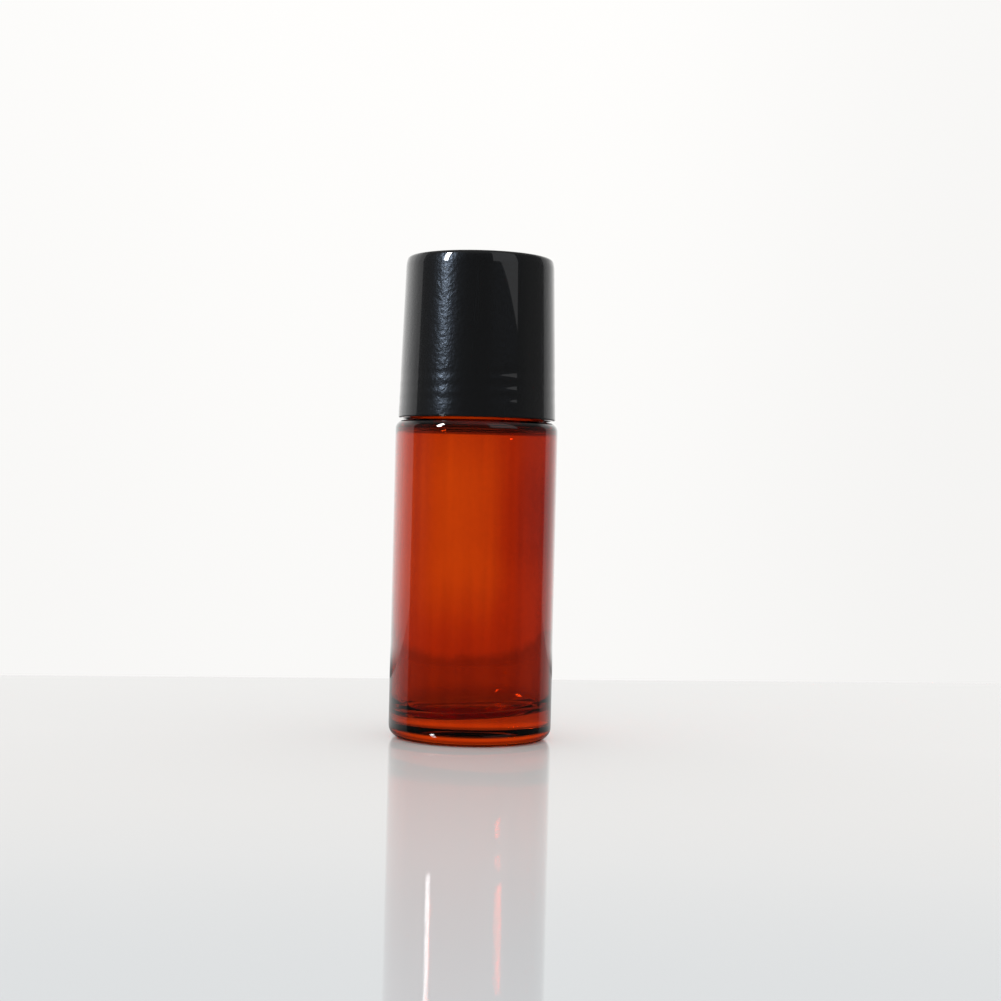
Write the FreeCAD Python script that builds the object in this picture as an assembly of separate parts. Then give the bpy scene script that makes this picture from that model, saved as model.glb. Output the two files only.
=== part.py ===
"""Roll-on bottle: a glass bottle, a ball housing pressed into its mouth, a rolling ball and a screw cap.

Millimetres, +Z up. The origin is the middle of the ring that the bottle stands on.
The bottle is sized from the ball outwards: ball, socket, neck, cap skirt, body.
"""
import FreeCAD, Part
import math
import os

from FreeCAD import Vector

# Ball
ball_diameter = 25.4
ball_wall = 1.6

# Ball housing
socket_clearance = 0.3       # between the ball and its socket, all round
socket_wall = 1.3
lip_height = 4.3             # top of the retaining lip above the ball's centre
ball_rise = 5.0              # ball's centre above the bottle's mouth
throat_radius = 8.0          # hole under the ball that lets the liquid reach it
flange_thickness = 1.4
flange_setback = 0.4         # flange's edge inside the neck's outer wall
flange_round = 0.4
plug_depth = 10.0            # housing below the mouth
plug_wall = 1.1
plug_clearance = 0.3         # plug's plain wall to the neck's bore
plug_taper = 1.5             # narrowed end that guides the plug into the bore
plug_taper_step = 0.5
fin_count = 3
fin_bite = 0.1               # sealing fins' interference with the bore
fin_width = 1.2
fin_round = 0.3

# Bottle's neck
neck_wall = 2.0
neck_height = 14.2           # mouth above the shoulder
neck_root_round = 0.6
mouth_round = 0.6
bore_lead_in = 0.4
bead_step = 0.7              # transfer bead's step out from the neck
bead_width = 2.0
bead_round = 0.4
bead_lift = 1.6              # bead above the shoulder
thread_depth = 1.0           # room that the screw thread takes between neck and skirt
thread_clearance = 0.2

# Bottle's body
body_height = 73.8           # shoulder above the table
body_reveal = 0.6            # body's side outside the cap's skirt
body_wall = 1.7
shoulder_round = 2.0
shoulder_thickness = 1.5
inner_shoulder_round = 1.4
heel_round = 2.7
heel_wall = 2.45             # wall where it meets the floor
heel_taper_height = 30.0     # wall thickens below this height
heel_taper_blend = 250.0
inner_heel_round = 4.0
floor_height = 5.8           # inside floor above the table
standing_ring_width = 3.0
push_up_depth = 1.1

# Cap
cap_gap = 0.45               # skirt's edge above the shoulder
cap_wall = 1.6
cap_top_thickness = 1.9
cap_draft = 1.72             # degrees, outer skin
cap_lean = 16.0              # degrees, outer skin just under the top
cap_lean_height = 1.5
cap_lean_blend = 6.4
cap_top_round = 0.9
cap_edge_round = 0.4
cap_inner_round = 1.2
cap_lead_in = 0.6            # chamfer inside the skirt's edge
cap_thread_cover = 1.6       # straight threaded wall runs this far above the mouth
cap_step_rise = 0.8          # slope where the wall narrows above the thread
ball_headroom = 4.3          # ball's top to the cap's ceiling
presser_radius = 7.0         # middle of the ring that holds the ball down
presser_wall = 1.2
presser_round = 0.3
presser_clearance = 0.3

# Sizes that follow from the ones above
ball_radius = ball_diameter / 2
socket_radius = ball_radius + socket_clearance
cup_radius = socket_radius + socket_wall
plug_radius = math.sqrt(socket_radius**2 - ball_rise**2) + socket_wall
bore_radius = plug_radius + plug_clearance
neck_radius = bore_radius + neck_wall
cap_bore_radius = neck_radius + thread_depth + thread_clearance
skirt_radius = cap_bore_radius + cap_wall
body_radius = skirt_radius + body_reveal
mouth_z = body_height + neck_height
ball_z = mouth_z + ball_rise
cap_low_z = body_height + cap_gap
ceiling_z = ball_z + ball_radius + ball_headroom
cap_top_z = ceiling_z + cap_top_thickness

AXIS = Vector(0, 0, 1)
ORIGIN = Vector(0, 0, 0)


def turned(outline):
    """Solid turned about Z from a closed outline of (radius, height) or (radius, height, rounding) points.

    A rounding is limited by the straight runs beside it.
    """
    places = [Vector(point[0], 0, point[1]) for point in outline]
    count = len(places)
    half_turns = []
    reaches = []
    for i, here in enumerate(places):
        half_turn = (places[i - 1] - here).getAngle(places[(i + 1) % count] - here) / 2
        half_turns.append(half_turn)
        rounding = outline[i][2] if len(outline[i]) > 2 else 0
        reaches.append(rounding / math.tan(half_turn))
    for i in range(count):
        after = (i + 1) % count
        run = places[i].distanceToPoint(places[after])
        share = min(1, run / max(run, reaches[i] + reaches[after]))
        reaches[i] *= share
        reaches[after] *= share

    edges = []
    ends = []
    for i, here in enumerate(places):
        if reaches[i] == 0:
            ends.append((here, here))
            continue
        back = (places[i - 1] - here).normalize()
        ahead = (places[(i + 1) % count] - here).normalize()
        inward = (back + ahead).normalize()
        radius = reaches[i] * math.tan(half_turns[i])
        middle = here + inward * (radius / math.sin(half_turns[i]) - radius)
        ends.append((here + back * reaches[i], here + ahead * reaches[i]))
        edges.append(Part.Arc(ends[i][0], middle, ends[i][1]).toShape())
    for i in range(count):
        start = ends[i][1]
        end = ends[(i + 1) % count][0]
        if start.distanceToPoint(end) > Part.Precision.confusion():
            edges.append(Part.LineSegment(start, end).toShape())
    wire = Part.Wire(Part.__sortEdges__(edges))
    return Part.Face(wire).revolve(ORIGIN, AXIS, 360)


def sphere(radius, z):
    return Part.makeSphere(radius, Vector(0, 0, z))


def rod(radius, low, high):
    """Plain cylinder on the axis, used to cut bores."""
    return Part.makeCylinder(radius, high - low, Vector(0, 0, low), AXIS)


def glass_bottle():
    bead_low = body_height + bead_lift
    bead_high = bead_low + bead_width
    bead_radius = neck_radius + bead_step
    outside = turned([
        (0, 0),
        (body_radius, 0, heel_round),
        (body_radius, body_height, shoulder_round),
        (neck_radius, body_height, neck_root_round),
        (neck_radius, bead_low),
        (bead_radius, bead_low, bead_round),
        (bead_radius, bead_high, bead_round),
        (neck_radius, bead_high),
        (neck_radius, mouth_z, mouth_round),
        (0, mouth_z),
    ])
    inner_radius = body_radius - body_wall
    inner_shoulder_z = body_height - shoulder_thickness
    cavity = turned([
        (0, floor_height),
        (body_radius - heel_wall, floor_height, inner_heel_round),
        (inner_radius, heel_taper_height, heel_taper_blend),
        (inner_radius, inner_shoulder_z, inner_shoulder_round),
        (bore_radius, inner_shoulder_z, neck_root_round),
        (bore_radius, mouth_z - bore_lead_in),
        (bore_radius + bore_lead_in, mouth_z),
        (0, mouth_z),
    ])
    ring_inner = body_radius - heel_round - standing_ring_width
    dome_radius = (ring_inner**2 + push_up_depth**2) / (2 * push_up_depth)
    push_up = sphere(dome_radius, push_up_depth - dome_radius)
    return outside.cut(cavity).cut(push_up)


def sealing_fins():
    """Outline points of the fins round the plug, from the top one down."""
    tip_radius = bore_radius + fin_bite
    pitch = (plug_depth - plug_taper) / fin_count
    points = []
    for i in range(fin_count):
        middle = mouth_z - pitch * (i + 0.5)
        high = middle + fin_width / 2
        low = middle - fin_width / 2
        points += [
            (plug_radius, high),
            (tip_radius, high, fin_round),
            (tip_radius, low, fin_round),
            (plug_radius, low),
        ]
    return points


def ball_housing():
    plug_low = mouth_z - plug_depth
    lip_z = ball_z + lip_height
    flange_radius = neck_radius - flange_setback
    outside = turned([
        (0, lip_z),
        (cup_radius, lip_z, socket_wall),
        (cup_radius, mouth_z + flange_thickness),
        (flange_radius, mouth_z + flange_thickness, flange_round),
        (flange_radius, mouth_z),
        (plug_radius, mouth_z),
        *sealing_fins(),
        (plug_radius, plug_low + plug_taper),
        (plug_radius - plug_taper_step, plug_low),
        (0, plug_low),
    ])
    socket = sphere(socket_radius, ball_z)
    throat = rod(throat_radius, plug_low, ball_z)
    under_seat = rod(plug_radius - plug_wall, plug_low, mouth_z).cut(sphere(cup_radius, ball_z))
    return outside.cut(socket).cut(throat).cut(under_seat)


def roller_ball():
    return sphere(ball_radius, ball_z).cut(sphere(ball_radius - ball_wall, ball_z))


def skin_radius(z):
    """Outer skin of the cap, which narrows upwards by its draft."""
    return skirt_radius - (z - cap_low_z) * math.tan(math.radians(cap_draft))


def screw_cap():
    lean_z = cap_top_z - cap_lean_height
    top_radius = skin_radius(lean_z) - cap_lean_height * math.tan(math.radians(cap_lean))
    outside = turned([
        (0, cap_low_z),
        (skirt_radius, cap_low_z, cap_edge_round),
        (skin_radius(lean_z), lean_z, cap_lean_blend),
        (top_radius, cap_top_z, cap_top_round),
        (0, cap_top_z),
    ])
    step_z = mouth_z + cap_thread_cover
    narrow_z = step_z + cap_step_rise
    hollow = turned([
        (0, cap_low_z),
        (cap_bore_radius + cap_lead_in, cap_low_z),
        (cap_bore_radius, cap_low_z + cap_lead_in),
        (cap_bore_radius, step_z),
        (skin_radius(narrow_z) - cap_wall, narrow_z),
        (skin_radius(ceiling_z) - cap_wall, ceiling_z, cap_inner_round),
        (0, ceiling_z),
    ])
    ring_inner = presser_radius - presser_wall / 2
    ring_outer = presser_radius + presser_wall / 2
    ring_low = ball_z + math.sqrt((ball_radius + presser_clearance)**2 - ring_inner**2)
    ring_root = ceiling_z + cap_top_thickness / 2
    presser = turned([
        (ring_inner, ring_low, presser_round),
        (ring_outer, ring_low, presser_round),
        (ring_outer, ring_root),
        (ring_inner, ring_root),
    ])
    return outside.cut(hollow).fuse(presser).removeSplitter()


def main():
    os.makedirs("parts", exist_ok=True)
    pieces = {
        "glass_bottle": glass_bottle(),
        "ball_housing": ball_housing(),
        "roller_ball": roller_ball(),
        "screw_cap": screw_cap(),
    }
    for name, shape in pieces.items():
        shape.exportStep(f"parts/{name}.step")
        box = shape.optimalBoundingBox(False)
        print(f"{name}: {len(shape.Solids)} solid, {shape.Volume / 1000:.2f} cm3, "
              f"diameter {box.XLength:.2f}, height {box.ZMin:.2f} to {box.ZMax:.2f}")


main()
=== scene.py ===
import math

import bmesh
import bpy
from mathutils import Matrix, Vector, noise


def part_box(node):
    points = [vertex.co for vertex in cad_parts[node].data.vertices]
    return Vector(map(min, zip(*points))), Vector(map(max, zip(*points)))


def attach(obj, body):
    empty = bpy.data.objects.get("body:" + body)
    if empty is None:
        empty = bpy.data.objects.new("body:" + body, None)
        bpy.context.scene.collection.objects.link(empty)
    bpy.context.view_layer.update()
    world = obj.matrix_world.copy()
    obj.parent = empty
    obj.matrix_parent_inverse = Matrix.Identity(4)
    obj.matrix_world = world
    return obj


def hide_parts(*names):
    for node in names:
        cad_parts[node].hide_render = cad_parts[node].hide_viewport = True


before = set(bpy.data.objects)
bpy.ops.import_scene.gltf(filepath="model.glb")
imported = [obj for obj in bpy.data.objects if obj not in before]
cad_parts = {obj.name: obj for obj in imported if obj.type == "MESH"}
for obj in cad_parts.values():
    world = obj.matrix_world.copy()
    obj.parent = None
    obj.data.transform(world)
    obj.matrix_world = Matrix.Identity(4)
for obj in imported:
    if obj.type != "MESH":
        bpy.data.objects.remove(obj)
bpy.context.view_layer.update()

MM = 0.001

# How finely the meshes are made
STEPS = 224                       # facets round a turned piece
least_arc_facets = 8
arc_fineness = 1.6                # facets of a rounding for each row that it reaches
body_row = 0.8 * MM               # a row is the longest facet along an outline
housing_row = 0.6 * MM
skin_row = 0.3 * MM
thread_row = 0.16 * MM
coarse_row = 1.0 * MM
socket_facets = 40
underside_facets = 10
ball_facets = 120
weld_distance = 0.0005 * MM
wall_tolerance = 0.001 * MM
sharp_angle = math.radians(40)
edge_break = 0.1 * MM             # rounding of an edge that is nearly sharp

# Sizes that the frame gives
_, bottle_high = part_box("glass_bottle")
housing_low, housing_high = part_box("ball_housing")
ball_low, ball_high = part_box("roller_ball")
cap_low, cap_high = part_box("screw_cap")
body_radius = bottle_high.x
mouth_z = bottle_high.z
ball_radius = (ball_high.z - ball_low.z) / 2
ball_z = (ball_high.z + ball_low.z) / 2

# Bottle
shoulder_z = 73.8 * MM
shoulder_round = 2.0 * MM
shoulder_thickness = 1.5 * MM
heel_round = 2.7 * MM
standing_ring_width = 3.0 * MM
ring_edge_round = 0.3 * MM
push_up_depth = 1.1 * MM
push_up_bow = 0.98                # share of the push-up that is one soft curve
neck_radius = 15.6 * MM
neck_root_round = 0.6 * MM
bore_radius = 13.6 * MM
bore_lead_in = 0.4 * MM
mouth_round = 0.6 * MM
bead_step = 0.7 * MM
bead_round = 0.4 * MM
bead_low = shoulder_z + 1.6 * MM
bead_high = bead_low + 2.0 * MM
body_wall = 1.7 * MM
heel_taper_z = 30.0 * MM
heel_taper_blend = 4.0 * MM
heel_wall = 2.45 * MM
inner_heel_round = 4.0 * MM
inner_shoulder_round = 1.4 * MM
floor_z = 5.8 * MM
floor_slope = 0.06                # the glass settled unevenly in the mould, higher on the right
floor_slope_fade = 10 * MM
ripple_depth = 0.05 * MM          # unevenness of the inner wall
ripple_width = 3.0 * MM
ripple_length = 60 * MM

# Screw thread
thread_pitch = 2.9 * MM
thread_depth = 0.9 * MM
thread_base = 1.5 * MM
thread_crest = 0.5 * MM
thread_run_out = 0.15             # of a turn, where a ridge rises and fades
neck_thread_z = 77.8 * MM
neck_thread_turns = 2.3
cap_thread_z = neck_thread_z - 0.5 * thread_pitch
cap_thread_turns = 3.1

# Ball housing
socket_radius = ball_radius + 0.3 * MM
socket_wall = 1.3 * MM
cup_radius = socket_radius + socket_wall
lip_round = socket_wall * 0.8
throat_radius = 8.0 * MM
plug_radius = 13.3 * MM
plug_wall = 1.1 * MM
plug_taper = 1.5 * MM
plug_taper_step = 0.5 * MM
fin_count = 3
fin_tip_radius = bore_radius - 0.05 * MM
fin_width = 1.2 * MM
flange_radius = 15.2 * MM
flange_thickness = 1.4 * MM
flange_round = 0.4 * MM
flange_root_round = 0.3 * MM

# Ball
seam_height = 0.03 * MM           # flash left where the ball's two halves are joined
seam_reach = 0.1 * MM

# Cap
skirt_radius = cap_high.x
cap_draft = math.radians(1.72)
cap_lean = math.radians(16)
cap_lean_height = 1.5 * MM
cap_lean_blend = 0.8 * MM
cap_top_round = 0.68 * MM
cap_top_dish = 0.08 * MM          # hollow of the cap's top as it cools
cap_edge_round = 0.4 * MM
cap_wall = 1.6 * MM
cap_top_thickness = 1.9 * MM
cap_bore_radius = 16.8 * MM
cap_lead_in = 0.6 * MM
cap_step_z = mouth_z + 1.6 * MM
cap_step_rise = 0.8 * MM
cap_inner_round = 1.2 * MM
presser_inner = 6.4 * MM
presser_outer = 7.6 * MM
presser_low = 104.3 * MM
presser_round = 0.3 * MM
sink_depth = 0.036 * MM           # soft rings that the thread draws into the cap's skin


def turn(bm, outline, row, material=0):
    """Adds the surface that an outline of (radius, height, rounding) points makes when turned about Z.

    A rounding is how far a corner's arc reaches along the runs beside it.
    """
    strip = bmesh.new()
    corners = [strip.verts.new((radius, 0, height)) for radius, height, _ in outline]
    for start, end in zip(corners, corners[1:]):
        strip.edges.new((start, end))
    for corner, (_, _, rounding) in zip(corners, outline):
        if rounding:
            facets = max(least_arc_facets, round(arc_fineness * rounding / row))
            bmesh.ops.bevel(
                strip, geom=[corner], affect="VERTICES", offset=rounding, offset_type="OFFSET",
                segments=facets, profile=0.5, material=-1,
            )
    for edge in strip.edges[:]:
        cuts = int(edge.calc_length() / row)
        if cuts:
            bmesh.ops.subdivide_edges(strip, edges=[edge], cuts=cuts)
    bmesh.ops.spin(
        strip, geom=strip.verts[:] + strip.edges[:], cent=(0, 0, 0), axis=(0, 0, 1), angle=math.tau,
        steps=STEPS, use_merge=True,
    )
    for face in strip.faces:
        face.material_index = material
    mesh = bpy.data.meshes.new("turned_strip")
    strip.to_mesh(mesh)
    strip.free()
    bm.from_mesh(mesh)
    bpy.data.meshes.remove(mesh)


def arc(radius, centre_z, start, end, count):
    """Outline points along a circle about a point of the axis, by angle above the horizontal."""
    angles = [math.radians(start + (end - start) * i / count) for i in range(count + 1)]
    return [(radius * math.cos(a), centre_z + radius * math.sin(a), 0) for a in angles]


def thread_place(vert, start_z, turns):
    """Where a vertex lies on a right-hand thread that starts at start_z on +X.

    Gives its distance from the ridge's middle, in turns, and how far the ridge has risen there.
    """
    angle = math.atan2(vert.co.y, vert.co.x) / math.tau % 1
    climb = (vert.co.z - start_z) / thread_pitch - angle
    lap = round(climb)
    along = lap + angle
    risen = min(1, along / thread_run_out, (turns - along) / thread_run_out)
    return abs(climb - lap), max(0, risen)


def ridge_height(vert, start_z, turns):
    """Share of the full thread height at a vertex."""
    off_middle, risen = thread_place(vert, start_z, turns)
    flank = (thread_base / 2 - off_middle * thread_pitch) / (thread_base / 2 - thread_crest / 2)
    return max(0, min(1, flank)) * risen


def sink_share(vert):
    """Share of the full depth of the soft ring that the cap's thread draws into its skin."""
    off_middle, risen = thread_place(vert, cap_thread_z, cap_thread_turns)
    return risen * (1 + math.cos(math.tau * off_middle)) / 2


def radius_of(vert):
    return math.hypot(vert.co.x, vert.co.y)


def on_wall(vert, radius):
    return abs(radius_of(vert) - radius) < wall_tolerance


def move_out(vert, distance):
    """Moves a vertex away from the axis."""
    scale = 1 + distance / radius_of(vert)
    vert.co.x *= scale
    vert.co.y *= scale


def object_from(bm, name, materials):
    """Makes an object from a finished shape."""
    mesh = bpy.data.meshes.new(name)
    bm.to_mesh(mesh)
    bm.free()
    for material in materials:
        mesh.materials.append(material)
    made = bpy.data.objects.new(name, mesh)
    bpy.context.collection.objects.link(made)
    return made


def piece_from(bm, name, body, node, materials):
    """Closes a turned shape and makes it an object that stands for a node and rides on its body."""
    bmesh.ops.remove_doubles(bm, verts=bm.verts, dist=weld_distance)
    bmesh.ops.recalc_face_normals(bm, faces=bm.faces)
    for face in bm.faces:
        face.smooth = True
    piece = object_from(bm, name, materials)
    piece.data.set_sharp_from_angle(angle=sharp_angle)
    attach(piece, body)
    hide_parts(node)


# Colours and amounts of the finishes. A depth is how much of the amber coat light goes through, from 0
# where it is lightest to 1.5 where it is darkest; from 1 up it is painted shade, under the glass's
# shoulder.
glass_ior = 1.5
lacquer_ior = 1.3
amber_thin = (0.63, 0.054, 0.0006, 1)
amber_middle = (0.415, 0.019, 0.0005, 1)
amber_deep = (0.20, 0.0045, 0.0004, 1)
# painted shade: the darkest amber, given to the band under the shoulder where the glass shows the dark cap
amber_painted_shade = (0.09, 0.001, 0.0003, 1)
right_depth = 0.75
left_depth = 0.3
sides_low_share = 0.1
sides_high_share = 0.55
base_depth = 0.56
shoulder_depth = 0.18
streak_depth = (-0.085, 0.095)
cloud_depth = (-0.05, 0.06)
heel_share = 0.35
noise_spread = (0.3, 0.7)         # most of a noise lies between these values
glass_clear = (0.99, 0.99, 0.985, 1)
glass_hazy = (0.95, 0.95, 0.94, 1)
cap_black = (0.009, 0.009, 0.009, 1)
cap_haze_tint = (0.6, 0.76, 1.0, 1)
dust_grey = (0.42, 0.45, 0.47, 1)
milky_pale = (0.82, 0.82, 0.79, 1)
milky_dull = (0.72, 0.72, 0.68, 1)
milky_scatter = (0.002, 0.002, 0.0018)
ball_white = (0.86, 0.86, 0.84, 1)
ball_dull = (0.80, 0.80, 0.77, 1)
broad_grain = 0.2                 # fineness of the broad grain against the fine one
speck_core = 0.5                  # share of a speck's size that is solid
scratch_stretch = (1, 1, 0.12)
scratch_lean = (0.2, 0.15, 0)
scratch_breaks = (0.52, 0.62)


def add(tree, kind, inputs, **settings):
    """Adds a shader node. Each input is set to a plain value or linked to another node's output."""
    node = tree.nodes.new(kind)
    for name, value in settings.items():
        setattr(node, name, value)
    for name, value in inputs.items():
        feed(tree, value, node.inputs[name])
    return node


def feed(tree, value, socket):
    if isinstance(value, bpy.types.NodeSocket):
        tree.links.new(value, socket)
    else:
        socket.default_value = value


def arithmetic(tree, operation, first, second):
    return add(tree, "ShaderNodeMath", {0: first, 1: second}, operation=operation).outputs["Value"]


def ramp(tree, value, start, end, low=0.0, high=1.0, kind="SMOOTHSTEP"):
    """Value that goes from low at start to high at end."""
    return add(tree, "ShaderNodeMapRange", {
        "Value": value, "From Min": start, "From Max": end, "To Min": low, "To Max": high,
    }, interpolation_type=kind).outputs["Result"]


def mixed(tree, factor, first, second):
    """Colour between two others."""
    mix = add(tree, "ShaderNodeMix", {"Factor": factor, "A": first, "B": second}, data_type="RGBA")
    return mix.outputs["Result"]


def noise_value(tree, place, scale, stretch=(1, 1, 1)):
    squeezed = add(tree, "ShaderNodeMapping", {"Vector": place, "Scale": stretch}).outputs["Vector"]
    return add(tree, "ShaderNodeTexNoise", {"Vector": squeezed, "Scale": scale}).outputs["Fac"]


def new_material(name, **values):
    """A Principled material with its plain values set, its node tree and its Object coordinates."""
    material = bpy.data.materials.new(name)
    material.use_nodes = True
    tree = material.node_tree
    shader = tree.nodes["Principled BSDF"]
    for socket, value in values.items():
        shader.inputs[socket.replace("_", " ")].default_value = value
    place = tree.nodes.new("ShaderNodeTexCoord").outputs["Object"]
    return material, tree, shader, place


def effect(name, numbers, result):
    """A node group for an effect that several finishes share. It takes a place and some numbers.

    Gives its tree, its inputs and the socket of its result.
    """
    group = bpy.data.node_groups.new(name, "ShaderNodeTree")
    group.interface.new_socket("Place", in_out="INPUT", socket_type="NodeSocketVector")
    for number in numbers:
        group.interface.new_socket(number, in_out="INPUT", socket_type="NodeSocketFloat")
    group.interface.new_socket(result, in_out="OUTPUT", socket_type="NodeSocketFloat")
    given = group.nodes.new("NodeGroupInput").outputs
    return group, given, group.nodes.new("NodeGroupOutput").inputs[result]


def moulded_grain():
    """Height of the fine unevenness that a mould leaves on plastic."""
    group, given, height = effect("moulded_grain", ["Fineness"], "Height")
    coarse = arithmetic(group, "MULTIPLY", given["Fineness"], broad_grain)
    fine = noise_value(group, given["Place"], given["Fineness"])
    broad = noise_value(group, given["Place"], coarse)
    feed(group, arithmetic(group, "ADD", fine, broad), height)
    return group


def dust_specks():
    """Mask of small scattered specks. Share is the part of the cells that holds one."""
    group, given, mask = effect("dust_specks", ["Cells", "Size", "Share"], "Mask")
    cells = add(group, "ShaderNodeTexVoronoi", {"Vector": given["Place"], "Scale": given["Cells"]}).outputs
    lot = add(group, "ShaderNodeSeparateColor", {"Color": cells["Color"]}).outputs["Red"]
    held = arithmetic(group, "LESS_THAN", lot, given["Share"])
    core = arithmetic(group, "MULTIPLY", given["Size"], speck_core)
    close = ramp(group, cells["Distance"], given["Size"], core)
    feed(group, arithmetic(group, "MULTIPLY", held, close), mask)
    return group


def fine_scratches():
    """Mask of hair-thin broken scratches that run mostly upright."""
    group, given, mask = effect("fine_scratches", ["Cells", "Width"], "Mask")
    drawn = add(group, "ShaderNodeMapping", {
        "Vector": given["Place"], "Scale": scratch_stretch, "Rotation": scratch_lean,
    }).outputs["Vector"]
    edge = add(group, "ShaderNodeTexVoronoi", {
        "Vector": drawn, "Scale": given["Cells"],
    }, feature="DISTANCE_TO_EDGE").outputs["Distance"]
    line = ramp(group, edge, given["Width"], 0)
    broken = ramp(group, noise_value(group, given["Place"], given["Cells"]), *scratch_breaks)
    feed(group, arithmetic(group, "MULTIPLY", line, broken), mask)
    return group


def applied(tree, group, **values):
    """Result of a shared effect in a material."""
    return add(tree, "ShaderNodeGroup", values, node_tree=group).outputs[0]


def add_tone(tree, shader, mask, plain, marked):
    """Colours a finish, plain where the mask is 0 and marked where it is 1."""
    feed(tree, mixed(tree, mask, plain, marked), shader.inputs["Base Color"])


def add_scratches(tree, shader, place, cells, width, smooth, scratched):
    """Roughens a finish along fine scratches."""
    scratches = applied(tree, scratch_effect, Place=place, Cells=cells, Width=width)
    feed(tree, ramp(tree, scratches, 0, 1, smooth, scratched), shader.inputs["Roughness"])


def add_grain(tree, shader, place, fineness, distance, strength=1.0):
    """Gives a finish the grain of its mould."""
    grain = applied(tree, grain_effect, Place=place, Fineness=fineness)
    bump = add(tree, "ShaderNodeBump", {"Strength": strength, "Distance": distance, "Height": grain})
    feed(tree, bump.outputs["Normal"], shader.inputs["Normal"])


def amber_coat():
    """Outer skin of the glass, tinted where light goes through its sprayed coat."""
    material, tree, shader, place = new_material(
        "amber_coat", Transmission_Weight=1, IOR=glass_ior, Roughness=0,
        Coat_Weight=1, Coat_IOR=lacquer_ior, Coat_Roughness=0,
    )
    split = add(tree, "ShaderNodeSeparateXYZ", {"Vector": place}).outputs
    across = split["X"]
    height = split["Z"]
    streaks = noise_value(tree, place, scale=350, stretch=(1, 1, 0.03))
    clouds = noise_value(tree, place, scale=45)
    # The tint is made deeper to the right, a little deeper to the left, towards the bottom and towards the
    # shoulder, and lighter at the heel.
    right = ramp(tree, across, -4 * MM, 16 * MM, 0, right_depth)
    left = ramp(tree, across, -5 * MM, -16 * MM, 0, left_depth)
    depth = arithmetic(tree, "ADD", right, left)
    for share in (
        ramp(tree, height, 18 * MM, 46 * MM, sides_low_share, 1),
        ramp(tree, height, 56 * MM, 72 * MM, 1, sides_high_share),
    ):
        depth = arithmetic(tree, "MULTIPLY", depth, share)
    for more in (
        ramp(tree, height, 42 * MM, 19 * MM, 0, base_depth),
        ramp(tree, height, 58 * MM, 72 * MM, 0, shoulder_depth),
        ramp(tree, streaks, *noise_spread, *streak_depth),
        ramp(tree, clouds, *noise_spread, *cloud_depth),
    ):
        depth = arithmetic(tree, "ADD", depth, more)
    heel = ramp(tree, height, 2 * MM, 8 * MM, heel_share, 1)
    depth = arithmetic(tree, "MULTIPLY", depth, heel)
    # Painted shade: the band just under the shoulder is made darkest, as the glass there shows the dark of
    # the cap above it.
    under_shoulder = ramp(tree, height, 71.9 * MM, 73.0 * MM)
    below_top = ramp(tree, height, 73.9 * MM, 73.6 * MM)
    painted_shoulder_shade = arithmetic(tree, "MULTIPLY", under_shoulder, below_top)
    depth = arithmetic(tree, "ADD", depth, painted_shoulder_shade)
    colour = amber_thin
    for start, end, deeper in (
        (0, 0.5, amber_middle),
        (0.5, 1, amber_deep),
        (1, 1.5, amber_painted_shade),
    ):
        colour = mixed(tree, ramp(tree, depth, start, end, kind="LINEAR"), colour, deeper)
    feed(tree, colour, shader.inputs["Base Color"])
    return material


def clear_glass():
    """Inner skin of the glass."""
    material, tree, shader, place = new_material(
        "clear_glass", Transmission_Weight=1, IOR=glass_ior, Roughness=0,
    )
    haze = noise_value(tree, place, scale=120)
    add_tone(tree, shader, haze, glass_clear, glass_hazy)
    return material


def black_gloss():
    """Moulded black plastic: a clear sharp gloss over a fine bluish haze, with some dust and scratches."""
    material, tree, shader, place = new_material(
        "black_gloss", IOR=1.5, Specular_IOR_Level=0.15, Specular_Tint=cap_haze_tint,
        Coat_Weight=1, Coat_IOR=1.5, Coat_Roughness=0.02,
    )
    dust = applied(tree, dust_effect, Place=place, Cells=250, Size=0.045, Share=0.1)
    add_tone(tree, shader, dust, cap_black, dust_grey)
    add_scratches(tree, shader, place, cells=260, width=0.008, smooth=0.24, scratched=0.4)
    add_grain(tree, shader, place, fineness=1100, distance=0.06 * MM)
    return material


def natural_plastic():
    """Milky polyethylene of the ball housing."""
    material, tree, shader, place = new_material(
        "natural_plastic", Subsurface_Weight=0.3, Subsurface_Radius=milky_scatter,
    )
    flow = noise_value(tree, place, scale=160, stretch=(1, 1, 0.3))
    add_tone(tree, shader, flow, milky_pale, milky_dull)
    add_scratches(tree, shader, place, cells=300, width=0.01, smooth=0.36, scratched=0.55)
    add_grain(tree, shader, place, fineness=1100, distance=0.02 * MM)
    return material


def ball_plastic():
    """Smooth white ball, a little rubbed by its seat."""
    material, tree, shader, place = new_material("ball_plastic", IOR=1.49)
    tone = noise_value(tree, place, scale=90)
    add_tone(tree, shader, tone, ball_white, ball_dull)
    add_scratches(tree, shader, place, cells=220, width=0.012, smooth=0.16, scratched=0.4)
    add_grain(tree, shader, place, fineness=900, distance=0.006 * MM, strength=0.6)
    return material


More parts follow.
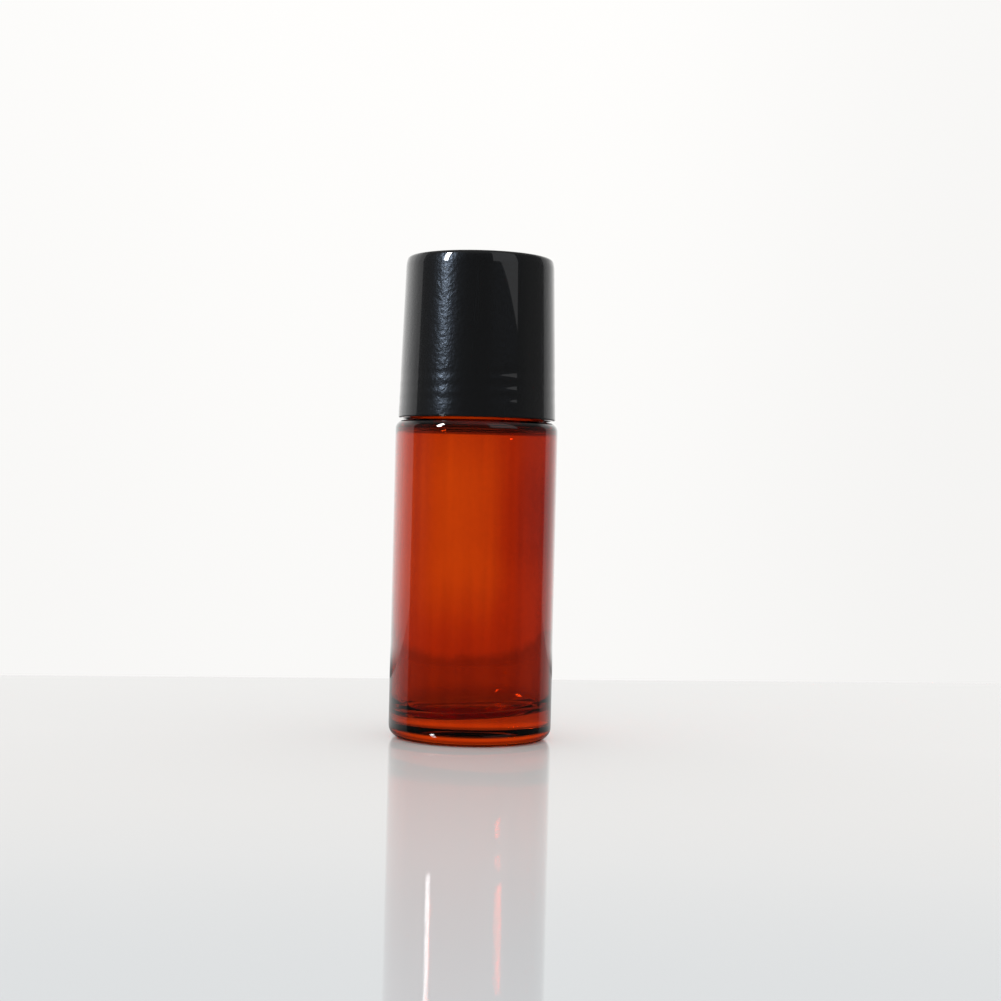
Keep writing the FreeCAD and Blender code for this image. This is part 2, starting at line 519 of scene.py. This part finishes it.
def glass_bottle():
    bm = bmesh.new()
    ring_inner = body_radius - heel_round - standing_ring_width
    bead_radius = neck_radius + bead_step
    inner_shoulder_z = shoulder_z - shoulder_thickness
    turn(bm, [
        (0, push_up_depth, 0),
        (ring_inner / 2, push_up_depth, push_up_bow * ring_inner / 2),
        (ring_inner, 0, ring_edge_round),
        (body_radius, 0, heel_round),
        (body_radius, shoulder_z, shoulder_round),
        (neck_radius, shoulder_z, neck_root_round),
        (neck_radius, bead_low, edge_break),
        (bead_radius, bead_low, bead_round),
        (bead_radius, bead_high, bead_round),
        (neck_radius, bead_high, 0),
    ], row=body_row)
    turn(bm, [
        (neck_radius, bead_high, 0),
        (neck_radius, mouth_z, mouth_round),
        (bore_radius + bore_lead_in, mouth_z, 0),
    ], row=thread_row)
    turn(bm, [
        (bore_radius + bore_lead_in, mouth_z, 0),
        (bore_radius, mouth_z - bore_lead_in, 0),
        (bore_radius, inner_shoulder_z, neck_root_round),
        (body_radius - body_wall, inner_shoulder_z, inner_shoulder_round),
        (body_radius - body_wall, heel_taper_z, heel_taper_blend),
        (body_radius - heel_wall, floor_z, inner_heel_round),
        (0, floor_z, 0),
    ], row=body_row, material=1)
    wall_middle = body_radius - body_wall / 2
    for vert in bm.verts:
        if on_wall(vert, neck_radius) and vert.co.z > bead_high:
            move_out(vert, thread_depth * ridge_height(vert, neck_thread_z, neck_thread_turns))
        elif radius_of(vert) < wall_middle and push_up_depth < vert.co.z < inner_shoulder_z:
            settle_inside(vert)
    piece_from(
        bm, "amber_bottle", "bottle", "glass_bottle", [amber_coat(), clear_glass()],
    )


def settle_inside(vert):
    """Gives the inside of the glass the slope of its floor and the soft ripples of its wall."""
    x, y, z = vert.co
    above_floor = z - floor_z
    fade = max(0, 1 - above_floor / floor_slope_fade)
    below_shoulder = shoulder_z - shoulder_thickness - z
    wall = max(0, min(1, above_floor / floor_slope_fade, below_shoulder / floor_slope_fade))
    if wall:
        spot = Vector((x / ripple_width, y / ripple_width, z / ripple_length))
        move_out(vert, ripple_depth * wall * noise.noise(spot))
    vert.co.z += floor_slope * vert.co.x * fade * fade


def plug_fins():
    """Outline points of the sealing fins round the plug, from the lowest up."""
    plug_low = housing_low.z + plug_taper
    pitch = (mouth_z - plug_low) / fin_count
    points = []
    for i in range(fin_count):
        middle = plug_low + pitch * (i + 0.5)
        points += [
            (plug_radius, middle - fin_width / 2, 0),
            (fin_tip_radius, middle - fin_width / 2, edge_break),
            (fin_tip_radius, middle + fin_width / 2, edge_break),
            (plug_radius, middle + fin_width / 2, 0),
        ]
    return points


def ball_housing():
    bm = bmesh.new()
    throat_angle = math.degrees(math.acos(throat_radius / socket_radius))
    under_angle = math.degrees(math.acos(throat_radius / cup_radius))
    plug_bore = plug_radius - plug_wall
    plug_angle = math.degrees(math.acos(plug_bore / cup_radius))
    lip_angle = math.degrees(math.asin((housing_high.z - ball_z) / socket_radius))
    socket = arc(socket_radius, ball_z, -throat_angle, lip_angle, socket_facets)
    underside = arc(cup_radius, ball_z, -plug_angle, -under_angle, underside_facets)
    turn(bm, [
        *socket,
        (cup_radius, housing_high.z, lip_round),
        (cup_radius, mouth_z + flange_thickness, flange_root_round),
        (flange_radius, mouth_z + flange_thickness, flange_round),
        (flange_radius, mouth_z, edge_break),
        (plug_radius, mouth_z, 0),
        *reversed(plug_fins()),
        (plug_radius, housing_low.z + plug_taper, 0),
        (plug_radius - plug_taper_step, housing_low.z, edge_break),
        (plug_bore, housing_low.z, edge_break),
        *underside,
        socket[0],
    ], row=housing_row)
    piece_from(
        bm, "socket_fitment", "bottle", "ball_housing", [natural_plastic()],
    )


def roller_ball():
    bm = bmesh.new()
    turn(bm, arc(ball_radius, ball_z, -90, 90, ball_facets), row=coarse_row)
    for vert in bm.verts:
        if abs(vert.co.z - ball_z) < seam_reach:
            move_out(vert, seam_height)
    piece_from(bm, "rolling_ball", "ball", "roller_ball", [ball_plastic()])


def skin_radius(z):
    """Outer skin of the cap, which narrows upwards."""
    return skirt_radius - (z - cap_low.z) * math.tan(cap_draft)


def screw_cap():
    bm = bmesh.new()
    ceiling_z = cap_high.z - cap_top_thickness
    narrow_z = cap_step_z + cap_step_rise
    lean_z = cap_high.z - cap_lean_height
    turn(bm, [
        (0, cap_high.z - cap_top_dish, 0),
        (skin_radius(lean_z) - cap_lean_height * math.tan(cap_lean), cap_high.z, cap_top_round),
        (skin_radius(lean_z), lean_z, cap_lean_blend),
        (skirt_radius, cap_low.z, cap_edge_round),
        (cap_bore_radius + cap_lead_in, cap_low.z, 0),
    ], row=skin_row)
    turn(bm, [
        (cap_bore_radius + cap_lead_in, cap_low.z, 0),
        (cap_bore_radius, cap_low.z + cap_lead_in, 0),
        (cap_bore_radius, cap_step_z, 0),
    ], row=thread_row)
    turn(bm, [
        (cap_bore_radius, cap_step_z, 0),
        (skin_radius(narrow_z) - cap_wall, narrow_z, 0),
        (skin_radius(ceiling_z) - cap_wall, ceiling_z, cap_inner_round),
        (presser_outer, ceiling_z, presser_round),
        (presser_outer, presser_low, presser_round),
        (presser_inner, presser_low, presser_round),
        (presser_inner, ceiling_z, presser_round),
        (0, ceiling_z, 0),
    ], row=coarse_row)
    for vert in bm.verts:
        if on_wall(vert, cap_bore_radius):
            move_out(vert, -thread_depth * ridge_height(vert, cap_thread_z, cap_thread_turns))
        elif on_wall(vert, skin_radius(vert.co.z)):
            move_out(vert, -sink_depth * sink_share(vert))
    piece_from(bm, "black_cap", "cap", "screw_cap", [black_gloss()])


# Table
table_gap = 0.05 * MM
table_back = 129 * MM
table_front = -1500 * MM
table_yaw = math.radians(8.5)
table_reach = 1.6
table_thickness = 30 * MM
table_edge_round = 1.5 * MM
# Painted shade: the table is made darker and bluer towards the viewer.
table_near = (0.805, 0.838, 0.865, 1)
table_near_y = -230 * MM
table_far = (0.92, 0.92, 0.92, 1)
table_far_y = -80 * MM
table_in_gloss = (0.05, 0.05, 0.05, 1)
table_in_glass = (0.55, 0.55, 0.55, 1)
table_in_glass_y = 25 * MM        # the glass shows the table at its darkest from here back

# Lights. Azimuths are right of the backdrop's middle, and heights are as the cap sees them.
cap_middle = Vector((0, 0, (cap_low.z + cap_high.z) / 2))
strip_azimuth = math.radians(180 + 54)
strip_distance = 4.0
strip_low = math.radians(11.2)
strip_high = math.radians(36)
strip_width = math.radians(6.6)
strip_radiance = 100
card_distance = 4.0
card_left = math.radians(180 - 20)
card_left_low = math.radians(11.1)
card_right = math.radians(180 - 60.5)
card_right_low = math.radians(8.0)
card_high = math.radians(60)
card_radiance = 0.6

# Room. Levels are shares of white.
sky_colour = (1.0, 0.993, 0.98, 1)
ambient_level = 0.85
backdrop_left = math.radians(-81.5)
backdrop_right = math.radians(64)
backdrop_soft = math.radians(1)
backdrop_left_level = 0.58
backdrop_right_level = 0.42
room_beside = 0.1
room_in_front = 0.04
room_overhead = 0.2
room_through_glass = 0.13
gloss_foot_level = 0.2            # of the backdrop below the table's edge, as gloss mirrors it
glass_foot_level = 0.6            # the same as the glass shows it
glass_foot_bow = 0.034            # how the wavy glass bends and tilts that edge
glass_foot_tilt = -0.012
glass_top_level = 0.4
seen_low = 0.954
seen_high = 1.0
seen_right_loss = -0.055
seen_left_loss = -0.018

# Camera, from the photograph's perspective
eye = Vector((5.975, -422.37, 57.95)) * MM
eye_tilt = 0.0058                 # radians below the horizon
eye_roll = 0.0239
lens = 64.84
sensor = 36
clip_near = 0.01
clip_far = 20


def table_top():
    """Pale glossy slab whose back edge stands a little behind the bottle."""
    bm = bmesh.new()
    bmesh.ops.create_cube(bm, size=1)
    depth = table_back - table_front
    bmesh.ops.scale(bm, vec=(2 * table_reach, depth, table_thickness), verts=bm.verts)
    middle = (0, table_back - depth / 2, -table_thickness / 2 - table_gap)
    bmesh.ops.translate(bm, vec=middle, verts=bm.verts)
    bmesh.ops.rotate(bm, cent=(0, 0, 0), matrix=Matrix.Rotation(table_yaw, 3, "Z"), verts=bm.verts)
    bmesh.ops.bevel(
        bm, geom=bm.edges[:], affect="EDGES", offset=table_edge_round, segments=4, profile=0.5,
        material=-1,
    )
    table = object_from(bm, "table_top", [table_gloss()])


def table_gloss():
    """Pale polished slab, with painted shade that makes it darker and bluer near the viewer.

    Gloss on the bottle mirrors it dark, as the room is, and the glass shows it shaded behind the bottle.
    """
    material, tree, shader, place = new_material("table_gloss", Roughness=0.02, IOR=1.22)
    depth = add(tree, "ShaderNodeSeparateXYZ", {"Vector": place}).outputs["Y"]
    # painted shade: darker and bluer towards the viewer
    surface = mixed(tree, ramp(tree, depth, table_near_y, table_far_y), table_near, table_far)
    shaded = mixed(tree, ramp(tree, depth, 0, table_in_glass_y), surface, table_in_glass)
    rays = tree.nodes.new("ShaderNodeLightPath").outputs
    through_glass = rays["Is Transmission Ray"]
    mirrored = arithmetic(tree, "SUBTRACT", rays["Is Glossy Ray"], through_glass)
    colour = mixed(tree, through_glass, surface, shaded)
    feed(tree, mixed(tree, mirrored, colour, table_in_gloss), shader.inputs["Base Color"])
    return material


def direction(azimuth, elevation):
    return Vector((
        math.sin(azimuth) * math.cos(elevation),
        math.cos(azimuth) * math.cos(elevation),
        math.sin(elevation),
    ))


def strip_light():
    """Tall softbox to the left of the camera, leaning over the bottle."""
    lamp = bpy.data.lights.new("strip_light", "AREA")
    lamp.shape = "RECTANGLE"
    lamp.size = 2 * strip_distance * math.tan(strip_width / 2)
    lamp.size_y = 2 * strip_distance * math.tan((strip_high - strip_low) / 2)
    lamp.energy = strip_radiance * math.pi * lamp.size * lamp.size_y
    holder = bpy.data.objects.new("strip_light", lamp)
    bpy.context.collection.objects.link(holder)
    towards = direction(strip_azimuth, (strip_low + strip_high) / 2)
    holder.location = cap_middle + towards * strip_distance
    holder.rotation_euler = towards.to_track_quat("Z", "Y").to_euler()
    holder.visible_camera = False
    holder.visible_diffuse = False


def side_card():
    """Pale card to the right of the camera, which only reflections show."""
    bm = bmesh.new()
    corners = [
        (card_right, card_right_low),
        (card_right, card_high),
        (card_left, card_high),
        (card_left, card_left_low),
    ]
    places = [cap_middle + direction(*corner) * card_distance for corner in corners]
    bm.faces.new([bm.verts.new(place) for place in places])
    card = object_from(bm, "side_card", [card_glow()])
    card.visible_camera = False
    card.visible_diffuse = False
    card.visible_transmission = False


def card_glow():
    material = bpy.data.materials.new("card_glow")
    material.use_nodes = True
    tree = material.node_tree
    tree.nodes.clear()
    glow = add(tree, "ShaderNodeEmission", {"Strength": card_radiance})
    add(tree, "ShaderNodeOutputMaterial", {"Surface": glow.outputs["Emission"]})
    return material


def height_ramp(tree, rise, start, end, low, high):
    """Value that goes from low to high between two heights in degrees above the horizon."""
    return ramp(tree, rise, math.sin(math.radians(start)), math.sin(math.radians(end)), low, high)


def side_ramp(tree, azimuth, start, end, low, high, kind="SMOOTHSTEP"):
    """Value that goes from low to high between two azimuths in degrees."""
    return ramp(tree, azimuth, math.radians(start), math.radians(end), low, high, kind)


def for_rays(tree, rays, shown, otherwise):
    """Level that some rays are shown, and another for the rest."""
    return add(tree, "ShaderNodeMix", {"Factor": rays, "A": otherwise, "B": shown}).outputs["Result"]


def studio_world():
    """White backdrop behind the bottle and a dim room round it. The camera sees white all round."""
    world = bpy.data.worlds.new("studio")
    bpy.context.scene.world = world
    world.use_nodes = True
    tree = world.node_tree
    sky = tree.nodes["Background"]
    sky.inputs["Color"].default_value = sky_colour
    place = tree.nodes.new("ShaderNodeTexCoord").outputs["Generated"]
    split = add(tree, "ShaderNodeSeparateXYZ", {"Vector": place}).outputs
    across = split["X"]
    rise = split["Z"]
    azimuth = arithmetic(tree, "ARCTAN2", across, split["Y"])
    aside = add(tree, "ShaderNodeMath", {0: azimuth}, operation="ABSOLUTE").outputs["Value"]

    # The backdrop itself
    behind = height_ramp(tree, rise, 25, 50, 1, 0)
    for share in (
        side_ramp(tree, azimuth, -50, -75, 1, backdrop_left_level, kind="LINEAR"),
        side_ramp(tree, azimuth, 20, 62, 1, backdrop_right_level, kind="LINEAR"),
        ramp(tree, azimuth, backdrop_left - backdrop_soft, backdrop_left + backdrop_soft),
        ramp(tree, azimuth, backdrop_right + backdrop_soft, backdrop_right - backdrop_soft),
    ):
        behind = arithmetic(tree, "MULTIPLY", behind, share)

    # What gloss mirrors
    gloss_foot = height_ramp(tree, rise, -5.85, -4.9, gloss_foot_level, 1)
    in_gloss = arithmetic(tree, "MULTIPLY", behind, gloss_foot)
    for level in (
        side_ramp(tree, aside, 95, 128, room_beside, room_in_front),
        height_ramp(tree, rise, 25, 45, 0, room_overhead),
    ):
        in_gloss = arithmetic(tree, "MAXIMUM", in_gloss, level)

    # What is seen through the glass
    bow = arithmetic(tree, "MULTIPLY", aside, glass_foot_bow)
    tilt = arithmetic(tree, "MULTIPLY", azimuth, glass_foot_tilt)
    bent_rise = arithmetic(tree, "ADD", rise, arithmetic(tree, "ADD", bow, tilt))
    glass_foot = height_ramp(tree, bent_rise, -7.26, -6.86, glass_foot_level, 1)
    glass_top = height_ramp(tree, rise, 5, 16, 1, glass_top_level)
    pane = arithmetic(tree, "MULTIPLY", glass_foot, glass_top)
    in_glass = arithmetic(tree, "MULTIPLY", behind, pane)
    in_glass = arithmetic(tree, "MAXIMUM", in_glass, room_through_glass)

    # What the camera sees
    seen = ramp(tree, rise, -0.1, 0.25, seen_low, seen_high, kind="LINEAR")
    for loss in (
        ramp(tree, across, 0.03, 0.27, 0, seen_right_loss),
        ramp(tree, across, -0.1, -0.27, 0, seen_left_loss),
    ):
        seen = arithmetic(tree, "ADD", seen, loss)

    rays = tree.nodes.new("ShaderNodeLightPath").outputs
    in_glass = for_rays(tree, rays["Diffuse Depth"], ambient_level, in_glass)
    strength = ambient_level
    for ray, shown in (
        ("Is Glossy Ray", in_gloss),
        ("Is Transmission Ray", in_glass),
        ("Is Camera Ray", seen),
    ):
        strength = for_rays(tree, rays[ray], shown, strength)
    feed(tree, strength, sky.inputs["Strength"])


def photograph_camera():
    data = bpy.data.cameras.new("camera")
    data.lens = lens
    data.sensor_width = sensor
    data.clip_start = clip_near
    data.clip_end = clip_far
    camera = bpy.data.objects.new("camera", data)
    bpy.context.collection.objects.link(camera)
    camera.matrix_world = (
        Matrix.Translation(eye)
        @ Matrix.Rotation(math.pi / 2 - eye_tilt, 4, "X")
        @ Matrix.Rotation(eye_roll, 4, "Z")
    )
    bpy.context.scene.camera = camera


grain_effect = moulded_grain()
dust_effect = dust_specks()
scratch_effect = fine_scratches()
glass_bottle()
ball_housing()
roller_ball()
screw_cap()
table_top()
strip_light()
side_card()
studio_world()
photograph_camera()
bpy.context.scene.view_settings.view_transform = "Standard"
